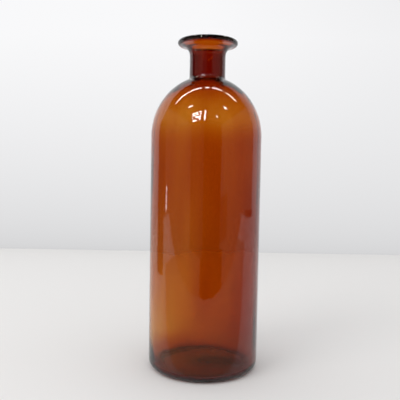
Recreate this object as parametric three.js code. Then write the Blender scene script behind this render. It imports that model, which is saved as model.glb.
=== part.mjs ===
// A tall amber glass bottle with a domed shoulder, a short neck and a wide trumpet lip.
// Units are millimetres, +Z is up, and the origin is the centre of the ring that the bottle stands on.
// The bottle is blown in one piece and open at the mouth, so it is one mesh: a closed wall profile,
// from the middle of the underside, up the outside, over the lip, down the inside and back to the axis.
import * as THREE from "three";

// Driving dimensions.
const HEIGHT = 300;
const BODY_DIAMETER = 101;
const NECK_DIAMETER = 32.6;
const LIP_DIAMETER = 54.6;
const BORE_DIAMETER = 23.6;
const SHOULDER_START = 212.6; // where the straight wall ends and the dome begins
const SHOULDER_RISE = 55.5; // height of the whole dome, if it ran on to the axis
const FLARE_START = 285.8; // where the neck begins to open into the lip
const LIP_THICKNESS = 5;
const WALL_THICKNESS = 2.5;
const HEEL_RADIUS = 7.8;
const STANDING_RING_WIDTH = 5;
const PUSH_UP = 2.2; // rise of the hollow underside at its middle
const FLOOR_AT_EDGE = 3.2; // height of the inside floor where it meets the wall's curve
const FLOOR_AT_MIDDLE = 4.2;
const INNER_HEEL_RADIUS = 6;
const NECK_ROOT_OUTSIDE = 2.6; // length of the blend from dome to neck, measured each way
const NECK_ROOT_INSIDE = 4.5;
const DISH_RADIUS = 15; // where the shallow dish of the mouth gives way to the steep throat
const DISH_HEIGHT = 294.5;
const DISH_BLEND = 1.5; // length of the soft corner there, measured each way
const THROAT_STEEPNESS = 3; // fall of the throat for each step inwards

// Facets.
const SEGMENTS_ROUND = 56;
const DOME_STEPS = 13;
const FLARE_STEPS = 6;
const LIP_STEPS = 6;
const HEEL_STEPS = 4;
const BLEND_STEPS = 3;
const HOLLOW_STEPS = 3;

const bodyRadius = BODY_DIAMETER / 2;
const neckRadius = NECK_DIAMETER / 2;
const lipRadius = LIP_DIAMETER / 2;
const boreRadius = BORE_DIAMETER / 2;
const innerRadius = bodyRadius - WALL_THICKNESS;
const QUARTER_TURN = Math.PI / 2;

// Points along an elliptical arc in the profile plane, x outwards and y up.
function arc(centreX, centreY, radiusX, radiusY, from, to, steps) {
  const curve = new THREE.EllipseCurve(centreX, centreY, radiusX, radiusY, from, to, to < from);
  return curve.getPoints(steps);
}

// Points along a soft corner from start to end, drawn towards the corner point.
function blend(start, corner, end, steps) {
  return new THREE.QuadraticBezierCurve(start, corner, end).getPoints(steps);
}

// Height of a dome with the given half-axes over the point at a radius.
function domeHeight(radius, radiusX, rise) {
  return SHOULDER_START + rise * Math.sqrt(1 - (radius / radiusX) ** 2);
}

// The underside: a shallow hollow inside a flat standing ring, then the rounded heel.
function underside() {
  const ringOuter = bodyRadius - HEEL_RADIUS;
  const ringInner = ringOuter - STANDING_RING_WIDTH;
  const hollow = arc(0, 0, ringInner, PUSH_UP, QUARTER_TURN, 0, HOLLOW_STEPS);
  const heel = arc(ringOuter, HEEL_RADIUS, HEEL_RADIUS, HEEL_RADIUS, -QUARTER_TURN, 0, HEEL_STEPS);
  return [...hollow, ...heel];
}

// The outside dome, up to the blend at the root of the neck, and the blend into the neck.
function outerShoulder() {
  const edge = neckRadius + NECK_ROOT_OUTSIDE;
  const dome = arc(0, SHOULDER_START, bodyRadius, SHOULDER_RISE, 0, Math.acos(edge / bodyRadius), DOME_STEPS);
  const corner = new THREE.Vector2(neckRadius, domeHeight(neckRadius, bodyRadius, SHOULDER_RISE));
  const onNeck = new THREE.Vector2(neckRadius, corner.y + NECK_ROOT_OUTSIDE);
  return [...dome, ...blend(dome.at(-1), corner, onNeck, BLEND_STEPS).slice(1)];
}

// The trumpet's underside, the round edge of the lip, the shallow dish inside it and the steep throat.
function lip() {
  const halfThickness = LIP_THICKNESS / 2;
  const edge = new THREE.Vector2(lipRadius - halfThickness, HEIGHT - halfThickness);
  const flareX = edge.x - neckRadius;
  const flareY = HEIGHT - LIP_THICKNESS - FLARE_START;
  const flare = arc(edge.x, FLARE_START, flareX, flareY, 2 * QUARTER_TURN, QUARTER_TURN, FLARE_STEPS);
  const dish = new THREE.Vector2(DISH_RADIUS, DISH_HEIGHT);
  const toEdge = edge.clone().sub(dish);
  const slope = toEdge.angle() + Math.asin(halfThickness / toEdge.length());
  const roundEdge = (from, to, steps) => arc(edge.x, edge.y, halfThickness, halfThickness, from, to, steps);
  const rim = roundEdge(-QUARTER_TURN, QUARTER_TURN, LIP_STEPS);
  const rollOver = roundEdge(QUARTER_TURN, QUARTER_TURN + slope, BLEND_STEPS); // until it meets the dish
  const upDish = new THREE.Vector2(Math.cos(slope), Math.sin(slope));
  const downThroat = new THREE.Vector2(-1, -THROAT_STEEPNESS).normalize();
  const onDish = dish.clone().addScaledVector(upDish, DISH_BLEND);
  const inThroat = dish.clone().addScaledVector(downThroat, DISH_BLEND);
  const throatFall = THROAT_STEEPNESS * (inThroat.x - boreRadius);
  const throatFoot = new THREE.Vector2(boreRadius, inThroat.y - throatFall);
  const dishCorner = blend(onDish, dish, inThroat, BLEND_STEPS);
  return [...flare, ...rim.slice(1), ...rollOver.slice(1), ...dishCorner, throatFoot];
}

// The inside of the neck's root and dome, from the bore down to the straight wall.
function innerShoulder() {
  const rise = SHOULDER_RISE - WALL_THICKNESS;
  const edge = boreRadius + NECK_ROOT_INSIDE;
  const dome = arc(0, SHOULDER_START, innerRadius, rise, Math.acos(edge / innerRadius), 0, DOME_STEPS);
  const corner = new THREE.Vector2(boreRadius, domeHeight(boreRadius, innerRadius, rise));
  const inBore = new THREE.Vector2(boreRadius, corner.y + NECK_ROOT_INSIDE);
  return [...blend(inBore, corner, dome[0], BLEND_STEPS), ...dome.slice(1)];
}

// The inside of the heel and the floor, which rises a little to the middle.
function floor() {
  const centreX = innerRadius - INNER_HEEL_RADIUS;
  const centreY = FLOOR_AT_EDGE + INNER_HEEL_RADIUS;
  const heel = arc(centreX, centreY, INNER_HEEL_RADIUS, INNER_HEEL_RADIUS, 0, -QUARTER_TURN, HEEL_STEPS);
  const rise = FLOOR_AT_MIDDLE - FLOOR_AT_EDGE;
  const rising = arc(0, FLOOR_AT_EDGE, centreX, rise, 0, QUARTER_TURN, HOLLOW_STEPS);
  return [...heel, ...rising.slice(1)];
}

const amberGlass = new THREE.MeshStandardMaterial({
  name: "amber_glass",
  color: 0x9a4a12,
  roughness: 0.05,
  metalness: 0,
});

function glassBottle() {
  const profile = [...underside(), ...outerShoulder(), ...lip(), ...innerShoulder(), ...floor()];
  profile[0].x = 0;
  profile.at(-1).x = 0;
  const geometry = new THREE.LatheGeometry(profile, SEGMENTS_ROUND);
  geometry.rotateX(QUARTER_TURN); // the lathe turns about Y, and the bottle stands along Z
  const mesh = new THREE.Mesh(geometry, amberGlass);
  mesh.name = "glass_bottle";
  return mesh;
}

const bottle = new THREE.Group();
bottle.add(glassBottle());

export default bottle;
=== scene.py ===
# %% [markdown]
# # A tall amber glass bottle
#
# The bottle is one piece of blown glass: a straight round body, a domed shoulder, a short neck and
# a wide trumpet lip, open at the mouth. The imported model already holds its size and its collision
# shape, but in flat facets. Glass bends light at every facet, so a faceted wall would sparkle like
# cut crystal. This script spins the same wall again as a fine smooth mesh, gives it the small
# unevenness that blowing leaves, and fills it with a glass that takes blue and green out of light.
#
# Loading the model comes first.

# %% Load the frame
import math

import bmesh
import bpy
from mathutils import Matrix, Vector, noise


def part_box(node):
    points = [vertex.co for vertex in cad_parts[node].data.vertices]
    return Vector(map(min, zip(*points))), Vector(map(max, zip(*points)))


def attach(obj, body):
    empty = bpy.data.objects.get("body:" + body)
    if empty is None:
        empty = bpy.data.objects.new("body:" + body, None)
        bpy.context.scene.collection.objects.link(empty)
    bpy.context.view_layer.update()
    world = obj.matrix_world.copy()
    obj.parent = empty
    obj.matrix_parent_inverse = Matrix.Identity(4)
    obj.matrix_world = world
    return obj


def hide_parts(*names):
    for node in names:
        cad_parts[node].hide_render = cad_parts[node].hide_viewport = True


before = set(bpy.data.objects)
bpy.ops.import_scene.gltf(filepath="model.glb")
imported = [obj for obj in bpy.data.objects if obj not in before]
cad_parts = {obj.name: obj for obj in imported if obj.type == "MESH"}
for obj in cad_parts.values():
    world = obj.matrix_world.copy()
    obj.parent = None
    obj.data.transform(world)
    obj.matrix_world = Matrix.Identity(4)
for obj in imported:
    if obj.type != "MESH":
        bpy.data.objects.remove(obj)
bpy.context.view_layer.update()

# %% [markdown]
# ## Sizes
#
# Every size is in metres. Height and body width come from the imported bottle, and the rest are the
# glassmaker's own measures, which the profile below is drawn from.

# %% Driving sizes
MM = 0.001
low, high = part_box("glass_bottle")
HEIGHT = high[2] - low[2]
BODY_RADIUS = (high[0] - low[0]) / 2
NECK_RADIUS = 16.3 * MM
LIP_RADIUS = 27.3 * MM
BORE_RADIUS = 11.8 * MM
SHOULDER_START = 212.6 * MM
SHOULDER_RISE = 55.5 * MM
FLARE_START = 285.8 * MM
DISH_RADIUS = 15 * MM
DISH_HEIGHT = 294.5 * MM
DISH_BLEND = 1.5 * MM
THROAT_STEEPNESS = 3
LIP_THICKNESS = 5 * MM
WALL = 2.5 * MM
HEEL_RADIUS = 7.8 * MM
INNER_HEEL_RADIUS = 6 * MM
STANDING_RING = 5 * MM
PUSH_UP = 2.2 * MM
FLOOR_AT_EDGE = 3.2 * MM
FLOOR_AT_MIDDLE = 4.2 * MM
NECK_ROOT_OUTSIDE = 2.6 * MM
NECK_ROOT_INSIDE = 4.5 * MM
print(f"bottle {HEIGHT / MM:.0f} mm tall, {2 * BODY_RADIUS / MM:.1f} mm across")

# %% [markdown]
# ## The camera
#
# The camera stands half a metre in front of the bottle and looks a little down on its body. Its
# eye is lower than the shoulder, so the lip is seen from below. It is made first, because every
# later choice is judged through it.

# %% Camera
CAMERA_DISTANCE = 0.4951
CAMERA_HEIGHT = 0.1868
CAMERA_SIDE = -0.0048
LOOK_DOWN = math.radians(3.68)
CAMERA_ROLL = math.radians(0.97)
FOCAL_LENGTH = 48.2
SENSOR_WIDTH = 36.0

camera_data = bpy.data.cameras.new("camera")
camera_data.lens = FOCAL_LENGTH
camera_data.sensor_width = SENSOR_WIDTH
camera = bpy.data.objects.new("camera", camera_data)
bpy.context.collection.objects.link(camera)
tilt = Matrix.Rotation(math.pi / 2 - LOOK_DOWN, 4, "X")
roll = Matrix.Rotation(CAMERA_ROLL, 4, "Z")
place = Matrix.Translation((CAMERA_SIDE, -CAMERA_DISTANCE, CAMERA_HEIGHT))
camera.matrix_world = place @ tilt @ roll
bpy.context.scene.camera = camera
print("camera at", tuple(round(c, 3) for c in camera.matrix_world.translation))

# %% [markdown]
# ## The wall profile
#
# A blown bottle is a solid of revolution, so half of its outline, turned once about the axis, is
# the whole glass. The outline is a chain of arcs: it starts on the axis under the base, goes up the
# outside, over the lip, down the bore and the inside, and ends on the axis on the inside floor.
#
# Three small helpers draw the chain: an arc of an ellipse, a soft corner that is pulled towards a
# point, and a straight run. Points are pairs of radius and height.

# %% Helpers for the profile
QUARTER = math.pi / 2


def arc(centre, radii, start, end, steps):
    """Points along an elliptical arc."""
    points = []
    for step in range(steps + 1):
        angle = start + (end - start) * step / steps
        points.append((centre[0] + radii[0] * math.cos(angle), centre[1] + radii[1] * math.sin(angle)))
    return points


def soft_corner(start, corner, end, steps):
    """Points along a quadratic curve that is drawn towards the corner."""
    points = []
    for step in range(steps + 1):
        t = step / steps
        weights = ((1 - t) ** 2, 2 * t * (1 - t), t**2)
        chain = (start, corner, end)
        points.append(tuple(sum(w * p[i] for w, p in zip(weights, chain)) for i in (0, 1)))
    return points


def straight(start, end, steps):
    """Points along a straight run, without its two ends."""
    points = []
    for step in range(1, steps):
        points.append(tuple(start[i] + (end[i] - start[i]) * step / steps for i in (0, 1)))
    return points


def dome_height(radius, dome_radius, rise):
    return SHOULDER_START + rise * math.sqrt(1 - (radius / dome_radius) ** 2)


print("dome meets the neck at", round(dome_height(NECK_RADIUS, BODY_RADIUS, SHOULDER_RISE) / MM, 1), "mm")

# %% [markdown]
# ### Underside, wall and shoulder
#
# The base is pushed up a little in the middle, so the bottle stands on a ring and doesn't rock. A
# round heel joins the ring to the wall. The shoulder is a dome, and a small fillet joins the neck.

# %% Outside of the glass
ring_outer = BODY_RADIUS - HEEL_RADIUS
ring_inner = ring_outer - STANDING_RING
underside = arc((0, 0), (ring_inner, PUSH_UP), QUARTER, 0, 16)
heel = arc((ring_outer, HEEL_RADIUS), (HEEL_RADIUS, HEEL_RADIUS), -QUARTER, 0, 12)
wall_outside = straight(heel[-1], (BODY_RADIUS, SHOULDER_START), 44)

dome_edge = NECK_RADIUS + NECK_ROOT_OUTSIDE
dome_end = math.acos(dome_edge / BODY_RADIUS)
dome_outside = arc((0, SHOULDER_START), (BODY_RADIUS, SHOULDER_RISE), 0, dome_end, 36)
root_corner = (NECK_RADIUS, dome_height(NECK_RADIUS, BODY_RADIUS, SHOULDER_RISE))
root_end = (NECK_RADIUS, root_corner[1] + NECK_ROOT_OUTSIDE)
root_outside = soft_corner(dome_outside[-1], root_corner, root_end, 8)[1:]
neck_outside = straight(root_end, (NECK_RADIUS, FLARE_START), 6)
print("standing ring", round(2 * ring_outer / MM, 1), "mm across")

# %% [markdown]
# ### Lip
#
# The hot neck is opened out with a blunt tool, which leaves a trumpet outside and a shallow dish
# inside, and the flame melts the edge round. The wall is thin between the dish and the trumpet, so
# it glows orange there. It is thick at the edge and around the steep throat below the dish, which
# look dark. The dish's side is the line from its foot that just touches the round edge.

# %% Lip
half_lip = LIP_THICKNESS / 2
lip_centre = (LIP_RADIUS - half_lip, HEIGHT - half_lip)
flare_radii = (lip_centre[0] - NECK_RADIUS, HEIGHT - LIP_THICKNESS - FLARE_START)
flare = arc((lip_centre[0], FLARE_START), flare_radii, 2 * QUARTER, QUARTER, 16)

dish = (DISH_RADIUS, DISH_HEIGHT)
reach = (lip_centre[0] - dish[0], lip_centre[1] - dish[1])
dish_slope = math.atan2(reach[1], reach[0]) + math.asin(half_lip / math.hypot(*reach))
lip_edge = arc(lip_centre, (half_lip, half_lip), -QUARTER, QUARTER + dish_slope, 20)[1:]
throat_slope = math.atan(THROAT_STEEPNESS)
on_dish = tuple(dish[i] + DISH_BLEND * (math.cos(dish_slope), math.sin(dish_slope))[i] for i in (0, 1))
in_throat = tuple(dish[i] - DISH_BLEND * (math.cos(throat_slope), math.sin(throat_slope))[i] for i in (0, 1))
throat_foot = (BORE_RADIUS, in_throat[1] - THROAT_STEEPNESS * (in_throat[0] - BORE_RADIUS))
mouth = straight(lip_edge[-1], on_dish, 8) + soft_corner(on_dish, dish, in_throat, 8)
mouth += straight(in_throat, throat_foot, 6) + [throat_foot]
print("mouth", round(2 * LIP_RADIUS / MM, 1), "mm over the lip,", round(2 * BORE_RADIUS / MM, 1), "mm bore")

# %% [markdown]
# ### Inside
#
# Inside, the wall follows the outside at the wall's own thickness, apart from the neck, where the
# glass is nearly twice as thick, because it was the part nearest the blowpipe.

# %% Inside of the glass
inner_radius = BODY_RADIUS - WALL
inner_rise = SHOULDER_RISE - WALL
inner_edge = BORE_RADIUS + NECK_ROOT_INSIDE
inner_start = math.acos(inner_edge / inner_radius)
dome_inside = arc((0, SHOULDER_START), (inner_radius, inner_rise), inner_start, 0, 36)
bore_corner = (BORE_RADIUS, dome_height(BORE_RADIUS, inner_radius, inner_rise))
bore_end = (BORE_RADIUS, bore_corner[1] + NECK_ROOT_INSIDE)
bore = straight(mouth[-1], bore_end, 6)
root_inside = soft_corner(bore_end, bore_corner, dome_inside[0], 8)
floor_edge = inner_radius - INNER_HEEL_RADIUS
inner_heel_centre = (floor_edge, FLOOR_AT_EDGE + INNER_HEEL_RADIUS)
heel_inside = arc(inner_heel_centre, (INNER_HEEL_RADIUS, INNER_HEEL_RADIUS), 0, -QUARTER, 12)
wall_inside = straight(dome_inside[-1], heel_inside[0], 44)
floor_rise = FLOOR_AT_MIDDLE - FLOOR_AT_EDGE
inside_floor = arc((0, FLOOR_AT_EDGE), (floor_edge, floor_rise), 0, QUARTER, 16)[1:]

outside = underside + heel[1:] + wall_outside + dome_outside + root_outside + neck_outside + flare
inside = bore + root_inside + dome_inside[1:] + wall_inside + heel_inside + inside_floor
profile = outside + lip_edge + mouth + inside
print(len(profile), "points in the profile")

# %% [markdown]
# ## Spinning the glass
#
# `bmesh.ops.spin` turns the chain once about the axis and merges the last copy with the first. The
# two ends of the chain lie on the axis, so their copies fall on one point and are merged too, which
# closes the poles. The faces are then turned outwards.

# %% Spin
SEGMENTS = 192
glass_mesh = bmesh.new()
chain = [glass_mesh.verts.new((radius, 0, height)) for radius, height in profile]
links = [glass_mesh.edges.new(pair) for pair in zip(chain, chain[1:])]
bmesh.ops.spin(
    glass_mesh,
    geom=chain + links,
    cent=(0, 0, 0),
    axis=(0, 0, 1),
    angle=2 * math.pi,
    steps=SEGMENTS,
    use_merge=True,
)
bmesh.ops.remove_doubles(glass_mesh, verts=glass_mesh.verts, dist=1e-6)
bmesh.ops.recalc_face_normals(glass_mesh, faces=glass_mesh.faces)
open_edges = sum(not edge.is_manifold for edge in glass_mesh.edges)
print(len(glass_mesh.faces), "faces,", open_edges, "open edges")

# %% [markdown]
# ## What blowing leaves
#
# Glass is blown against the inside of a mould, so the outside comes out round, and the inside is
# left where the air pushed it. On the real bottle the wall is thin low on one side and thick on the
# other, and a puddle of glass settles off centre on the floor. Thin glass is bright orange and
# thick glass is brown, so this unevenness is what colours the bottle.
#
# The inner wall is told from the outer one by its radius, and is moved along the radius. The glass
# is thinner on the left and thicker on the right, most of all near the base, and thinner over the
# whole dome. A low ridge runs up the front and the back. Smooth noise adds slow waves and faint
# upright streaks, and nowhere is the wall thinner than `THINNEST`.

# %% Uneven inner wall
THIN_SIDE = math.pi
THINNING = 1.6 * MM
THICKENING = 0.6 * MM
RIDGE = 0.3 * MM
THINNEST = 0.8 * MM
DOME_THINNING = 0.95 * MM
WAVES = 0.3 * MM
STREAKS = 0.14 * MM
RIDGE_HALF_WIDTH = 0.32


def extra_wall(x, y, z):
    """How much thicker than the even wall the glass is here."""
    turn = math.atan2(y, x)
    lower = 1 - min(1, max(0, z / (0.62 * HEIGHT)))
    facing = ((1 + math.cos(turn - THIN_SIDE)) / 2) ** 1.5
    thin = -THINNING * facing * (0.3 + 0.7 * lower)
    thick = THICKENING * ((1 - math.cos(turn - THIN_SIDE)) / 2) ** 1.5 * lower
    up_dome = min(1, max(0, (z - SHOULDER_START + 8 * MM) / (28 * MM)))
    dome = -DOME_THINNING * up_dome * up_dome * (3 - 2 * up_dome) * (1 - 0.4 * facing)
    waves = WAVES * noise.noise(Vector((x, y, 0.35 * z)) / (22 * MM))
    streaks = STREAKS * noise.noise(Vector((x, y, 0.12 * z)) / (7 * MM) + Vector((5, 5, 5)))
    beside_ridge = (abs(turn) - QUARTER) / RIDGE_HALF_WIDTH
    ridge = RIDGE * (math.exp(-(beside_ridge**2)) - 0.9)
    return max(thin + thick + ridge + dome + waves + streaks, THINNEST - WALL)


thicknesses = []
for vert in glass_mesh.verts:
    x, y, z = vert.co
    radius = math.hypot(x, y)
    is_wall = abs(radius - inner_radius) < 1e-5 and z > inner_heel_centre[1] - 1e-5
    on_dome = SHOULDER_START < z < bore_corner[1] and radius > inner_edge
    if on_dome:
        dome_gap = math.hypot(radius / inner_radius, (z - SHOULDER_START) / inner_rise) - 1
        is_wall = abs(dome_gap) < 1e-4
    if is_wall:
        fade = min(1, (z - inner_heel_centre[1]) / (12 * MM)) * min(1, (bore_corner[1] - z) / (14 * MM))
        extra = extra_wall(x, y, z) * fade
        scale = 1 - extra / radius
        vert.co = (x * scale, y * scale, z)
        thicknesses.append(round((WALL + extra) / MM, 2))
print(len(thicknesses), "points moved, wall", min(thicknesses), "to", max(thicknesses), "mm")

# %% [markdown]
# The puddle on the floor is raised in the same way, as a soft hump that is off the middle. The
# floor's thin side is on the left too, so it dips a little there.

# %% Puddle of glass on the floor
PUDDLE_AT = (0.013, 0.006)
PUDDLE_RADIUS = 0.022
PUDDLE_RISE = 2.6 * MM
FLOOR_DIP = 1.5 * MM

raised = 0
for vert in glass_mesh.verts:
    x, y, z = vert.co
    on_floor = FLOOR_AT_EDGE - 1e-6 < z < FLOOR_AT_MIDDLE + 1e-6 and math.hypot(x, y) < floor_edge
    if on_floor:
        away = math.hypot(x - PUDDLE_AT[0], (y - PUDDLE_AT[1]) * 1.3) / PUDDLE_RADIUS
        edge_fade = min(1, (floor_edge - math.hypot(x, y)) / (8 * MM))
        dip = FLOOR_DIP * max(0, -x / floor_edge)
        vert.co.z = z + (PUDDLE_RISE * math.exp(-(away**2)) - dip) * edge_fade
        raised += 1
print(raised, "points of the floor raised")

# %% [markdown]
# ## The piece
#
# The mesh becomes one object that takes the place of the imported bottle. It rides the root body, and
# the amber glass below is put on its mesh.

# %% The blown bottle
bottle_data = bpy.data.meshes.new("blown_bottle")
glass_mesh.to_mesh(bottle_data)
glass_mesh.free()
bottle_data.shade_smooth()
bottle = bpy.data.objects.new("blown_bottle", bottle_data)
bpy.context.collection.objects.link(bottle)
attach(bottle, "root")
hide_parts("glass_bottle")
print("blown bottle", len(bottle_data.polygons), "faces")

# %% [markdown]
# ## Shader arithmetic
#
# A material's pattern is easier to read as arithmetic than as a list of nodes. `Socket` wraps one
# output, and each operator on it adds a Math node. `add` makes any other node: its settings are set
# first, and then its sockets get a value or a link.

# %% A small shader language
class Socket:
    def __init__(self, tree, output):
        self.tree = tree
        self.output = output

    def math(self, operation, left, right):
        node = self.tree.nodes.new("ShaderNodeMath")
        node.operation = operation
        for socket, value in zip(node.inputs, (left, right)):
            if isinstance(value, Socket):
                self.tree.links.new(value.output, socket)
            else:
                socket.default_value = value
        return Socket(self.tree, node.outputs[0])

    def __add__(self, other):
        return self.math("ADD", self, other)

    def __sub__(self, other):
        return self.math("SUBTRACT", self, other)

    def __mul__(self, other):
        return self.math("MULTIPLY", self, other)

    def __pow__(self, other):
        return self.math("POWER", self, other)

    def __gt__(self, other):
        return self.math("GREATER_THAN", self, other)

    def __radd__(self, other):
        return self.math("ADD", other, self)

    def __rsub__(self, other):
        return self.math("SUBTRACT", other, self)

    def __rmul__(self, other):
        return self.math("MULTIPLY", other, self)


class Material:
    """A new material with a Principled shader, and a method that adds any node."""

    def __init__(self, name):
        self.material = bpy.data.materials.new(name)
        self.material.use_nodes = True
        self.tree = self.material.node_tree
        self.shader = self.tree.nodes["Principled BSDF"]
        self.end = self.tree.nodes["Material Output"]

    def plug(self, socket, value):
        if isinstance(value, Socket):
            self.tree.links.new(value.output, socket)
        else:
            socket.default_value = value

    def add(self, kind, settings=None, output=0, **values):
        node = self.tree.nodes.new(kind)
        for name, value in (settings or {}).items():
            setattr(node, name, value)
        for name, value in values.items():
            self.plug(node.inputs[name.replace("_", " ")], value)
        return Socket(self.tree, node.outputs[output])

    def surface(self, **values):
        for name, value in values.items():
            self.plug(self.shader.inputs[name.replace("_", " ")], value)


print("shader helpers ready")

# %% [markdown]
# ## Amber glass
#
# Amber glass isn't painted: iron and sulphur in the melt soak up blue light almost at once, green
# light within a few millimetres and red light slowly. So the surface is clear, and the colour sits
# in the volume. What is absorbed per metre is the density times one minus the colour, which makes
# blue seven times as strongly absorbed as red.
#
# The surface itself is fire-polished. Two things keep it from looking like plastic: a very faint
# unevenness from the mould, which bends long reflections a little, and a light haze of handling.

# %% Amber glass
amber = Material("amber_glass")
place_on_glass = amber.add("ShaderNodeTexCoord", output=3)
slow_waves = amber.add(
    "ShaderNodeTexNoise",
    {"noise_dimensions": "3D"},
    Vector=amber.add("ShaderNodeMapping", Vector=place_on_glass, Scale=(1, 1, 0.35)),
    Scale=38.0,
    Detail=1.5,
    Roughness=0.4,
)
fine_waves = amber.add("ShaderNodeTexNoise", Vector=place_on_glass, Scale=160.0, Detail=2.0, Roughness=0.5)
skin = slow_waves + 0.12 * fine_waves
haze = amber.add("ShaderNodeTexNoise", Vector=place_on_glass, Scale=24.0, Detail=4.0, Roughness=0.6)
amber.surface(
    Base_Color=(1, 1, 1, 1),
    IOR=1.52,
    Transmission_Weight=1.0,
    Roughness=0.012 + 0.03 * haze**3,
    Normal=amber.add("ShaderNodeBump", Height=skin, Strength=0.35, Distance=0.0006),
)
absorb = amber.tree.nodes.new("ShaderNodeVolumeAbsorption")
absorb.inputs["Color"].default_value = (0.8635, 0.605, 0.0, 1)
absorb.inputs["Density"].default_value = 1700
amber.tree.links.new(absorb.outputs["Volume"], amber.end.inputs["Volume"])
bottle_data.materials.append(amber.material)
print("amber glass", len(amber.tree.nodes), "nodes")

# %% [markdown]
# ## The stage
#
# The bottle stands on a pale table in front of a pale wall. A card that only gives the glass
# something to reflect is hidden from the camera, from light that passes through the glass, and
# from shadows.
#
# Three helpers stretch a card over a flat box: one stands and faces along Y, one stands and faces
# along X, and one lies level.

# %% Cards and paints
def paint(name, colour, glow=0.0):
    made = Material(name)
    if glow:
        made.surface(Base_Color=(0, 0, 0, 1), Emission_Color=(*colour, 1), Emission_Strength=glow)
    else:
        made.surface(Base_Color=(*colour, 1))
    made.surface(Roughness=0.9, Specular_IOR_Level=0.0)
    return made.material


def card(name, corners, material, reflected_only=True):
    mesh = bmesh.new()
    mesh.faces.new([mesh.verts.new(corner) for corner in corners])
    data = bpy.data.meshes.new(name)
    mesh.to_mesh(data)
    mesh.free()
    data.materials.append(material)
    made = bpy.data.objects.new(name, data)
    bpy.context.collection.objects.link(made)
    if reflected_only:
        made.visible_camera = False
        made.visible_transmission = False
        made.visible_diffuse = False
        made.visible_shadow = False
    return made


def front_card(name, width, depth, height, material, reflected_only=True):
    left, right = width
    bottom, top = height
    corners = [(left, depth, bottom), (right, depth, bottom), (right, depth, top), (left, depth, top)]
    return card(name, corners, material, reflected_only)


def side_card(name, side, depth, height, material):
    near, far = depth
    bottom, top = height
    corners = [(side, near, bottom), (side, far, bottom), (side, far, top), (side, near, top)]
    return card(name, corners, material)


def level_card(name, width, depth, height, material, reflected_only=True):
    left, right = width
    near, far = depth
    corners = [(left, near, height), (right, near, height), (right, far, height), (left, far, height)]
    return card(name, corners, material, reflected_only)


print("cards can be made")

# %% [markdown]
# The table is a warm white, and the world around it is a faintly blue white that lights everything.
# The Standard view keeps pale tones as they are.

# %% Table and world
TABLE_BACK = 0.66
TABLE_FRONT = -0.34
TABLE_SIDE = 1.6
table_paint = paint("table_paint", (0.83, 0.82, 0.80))
table_width = (-TABLE_SIDE, TABLE_SIDE)
level_card("table", table_width, (TABLE_FRONT, TABLE_BACK), 0, table_paint, reflected_only=False)

world = bpy.data.worlds.new("studio")
world.use_nodes = True
background = world.node_tree.nodes["Background"]
background.inputs["Color"].default_value = (0.90, 0.90, 0.92, 1)
background.inputs["Strength"].default_value = 1.0
bpy.context.scene.world = world
bpy.context.scene.view_settings.view_transform = "Standard"
print("table", 2 * TABLE_SIDE, "m wide")

# %% [markdown]
# The wall behind the table glows with painted light: brightest at the top, as if lit from above, it
# falls off towards the table and a little to the right. Its brightness is arithmetic on its own height.

# %% Back wall
WALL_SIDE = 2.4
WALL_FOOT = -0.4
WALL_TOP = 1.5
DIMMEST = 0.655
# Painted light: the wall's glow is brighter at the top and dimmer towards the table and the right.
wall_painted_light = Material("wall_painted_light")
where = wall_painted_light.add("ShaderNodeTexCoord", output=3)
across = wall_painted_light.add("ShaderNodeSeparateXYZ", output=0, Vector=where)
upwards = wall_painted_light.add("ShaderNodeSeparateXYZ", output=2, Vector=where)
climb = upwards.math("MAXIMUM", upwards, 0.0) * 2.17
fall_right = 0.16 * across.math("MAXIMUM", across, 0.0)
bright = DIMMEST + 0.29 * climb.math("MINIMUM", climb, 1.0) ** 0.6 - fall_right * climb
grey = wall_painted_light.add("ShaderNodeCombineColor", Red=bright, Green=bright, Blue=bright * 1.012)
wall_painted_light.surface(Base_Color=(0, 0, 0, 1), Specular_IOR_Level=0.0)
wall_painted_light.surface(Emission_Color=grey, Emission_Strength=1.0)
front_card(
    "back_wall",
    (-WALL_SIDE, WALL_SIDE),
    TABLE_BACK + 0.01,
    (WALL_FOOT, WALL_TOP),
    wall_painted_light.material,
    reflected_only=False,
)
print("wall", WALL_TOP, "m high")

# %% [markdown]
# ## What the glass reflects
#
# A glossy bottle shows the room in front of it, squeezed into narrow bands. The room is a warm
# grey box with a dark ceiling.

# %% Grey room
ROOM_SIDE = 1.7
ROOM_FRONT = -2.9
ROOM_BACK = 0.6
ROOM_FOOT = -2
CEILING = 1.35
room_grey = paint("room_grey", (0.30, 0.25, 0.20), 1.0)
ceiling_dark = paint("ceiling_dark", (0.045, 0.035, 0.025), 1.0)
front_card("room_front", (-2, 2), ROOM_FRONT, (ROOM_FOOT, CEILING), room_grey)
for name, side in (("room_left", -ROOM_SIDE), ("room_right", ROOM_SIDE)):
    side_card(name, side, (ROOM_FRONT, ROOM_BACK), (ROOM_FOOT, CEILING), room_grey)
level_card("room_ceiling", (-ROOM_SIDE, ROOM_SIDE), (-3, ROOM_BACK), CEILING, ceiling_dark)
print("room", 2 * ROOM_SIDE, "m wide")

# %% [markdown]
# A strip lamp runs across the room nearly overhead. The dome bends it into an arc. It has gaps
# where one tube ends and the next begins.

# %% Strip lamp overhead
LAMP_HEIGHT = 1.3
LAMP_DEPTH = (0.055, 0.125)
LAMP_RUNS = [(-1.18, -0.14), (-0.06, 0.06), (0.12, 0.42), (0.53, 1.06)]
lamp_light = paint("lamp_light", (1.0, 0.93, 0.84), 17.0)
for number, run in enumerate(LAMP_RUNS):
    level_card(f"strip_lamp_{number}", run, LAMP_DEPTH, LAMP_HEIGHT, lamp_light)
print("strip lamp at", LAMP_HEIGHT, "m")

# %% [markdown]
# High on the left hangs a window with sloping slats, and a lit door slit stands beside it. They
# make the bright patch on the dome and the spark at the root of the neck. Three small lamps hang
# around them.

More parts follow.
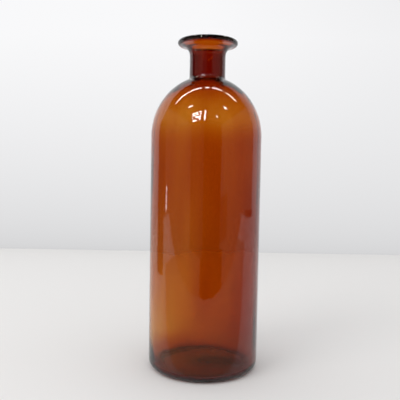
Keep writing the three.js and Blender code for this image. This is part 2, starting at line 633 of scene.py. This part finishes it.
# %% Window, slit and small lamps
LIGHTS_AT = -0.6
SLATS = 4
SLAT_FOOT = 0.49
SLAT_PITCH = 0.07
SLAT_RISE = 0.045
SLAT_HEIGHT = 0.018
SLAT_RIGHT = -0.13
window_light = paint("window_light", (1.0, 0.97, 0.93), 26.0)
slat_light = paint("slat_light", (1.0, 0.97, 0.93), 60.0)
for number in range(SLATS):
    low_side = SLAT_FOOT + SLAT_PITCH * number
    high_side = low_side + SLAT_RISE
    slat_left = -0.37 - 0.01 * number
    slat = [
        (slat_left, LIGHTS_AT, low_side),
        (SLAT_RIGHT, LIGHTS_AT, high_side),
        (SLAT_RIGHT, LIGHTS_AT, high_side + SLAT_HEIGHT),
        (slat_left, LIGHTS_AT, low_side + SLAT_HEIGHT),
    ]
    card(f"window_slat_{number}", slat, slat_light)
front_card("door_slit", (-0.062, -0.030), LIGHTS_AT, (0.51, 0.79), window_light)
front_card("small_lamp_left", (-0.72, -0.56), LIGHTS_AT, (1.10, 1.22), window_light)
front_card("small_lamp_right", (0.60, 0.78), LIGHTS_AT, (1.06, 1.17), window_light)
front_card("small_lamp_middle", (0.235, 0.262), LIGHTS_AT, (0.58, 0.65), window_light)
print(SLATS, "window slats hung")

# %% [markdown]
# A dark figure stands in the middle in front, so the middle of the bottle shows its own colour with
# nothing laid over it. Brown bands and a lit slit stand at the sides, and a box lies on the right. A
# grey sheet just above the table in front is a painted shadow of the figure, seen only in the glass.

# %% Dark figure and side bands
FIGURE_FOOT = 0.01
FIGURE_TOP = 0.44
figure_dark = paint("figure_dark", (0.01, 0.01, 0.01), 1.0)
figure_brown = paint("figure_brown", (0.10, 0.09, 0.08), 1.0)
front_card("figure_legs", (-0.10, 0.42), -0.62, (-0.9, FIGURE_FOOT), figure_dark)
front_card("figure_body", (-0.05, 0.34), -0.61, (FIGURE_FOOT, FIGURE_TOP), figure_dark)
front_card("figure_shade", (-0.36, -0.05), -0.63, (FIGURE_FOOT, FIGURE_TOP), figure_brown)
front_card("figure_arm", (0.34, 0.62), -0.64, (0.02, 0.12), figure_brown)
side_card("side_band", -1.5, (-0.02, 0.60), (-0.4, 0.75), figure_brown)
side_card("near_band", -0.46, (0.0, 0.16), (0.002, 0.18), figure_brown)
side_card("side_slit", -1.45, (-0.125, -0.075), (0.02, 0.11), paint("slit_light", (1, 0.97, 0.92), 9.0))
side_card("right_box", 1.5, (0.0, 0.55), (-0.06, 0.03), figure_brown)
# Painted shadow: a grey glowing sheet that the glass reflects in place of the bright table in front.
painted_shadow_grey = paint("painted_shadow_grey", (0.46, 0.42, 0.35), 1.0)
level_card("table_painted_shadow", (-0.6, 0.9), (TABLE_FRONT, -0.06), 0.001, painted_shadow_grey)
print("figure and bands placed")

# %% [markdown]
# One large soft lamp stands in front on the left. It is weak, because the pale walls of the studio
# give most of the light, and it only lays a faint shadow behind the bottle on the right.

# %% Soft lamp
lamp_data = bpy.data.lights.new("soft_lamp", "AREA")
lamp_data.shape = "SQUARE"
lamp_data.size = 0.8
lamp_data.energy = 6.0
soft_lamp = bpy.data.objects.new("soft_lamp", lamp_data)
bpy.context.collection.objects.link(soft_lamp)
soft_lamp.location = (-1.0, -0.9, 1.2)
towards_bottle = Vector((0, 0, 0.1)) - soft_lamp.location
soft_lamp.rotation_euler = towards_bottle.to_track_quat("-Z", "Y").to_euler()
soft_lamp.visible_glossy = False
soft_lamp.visible_transmission = False
print("soft lamp", lamp_data.energy, "W")
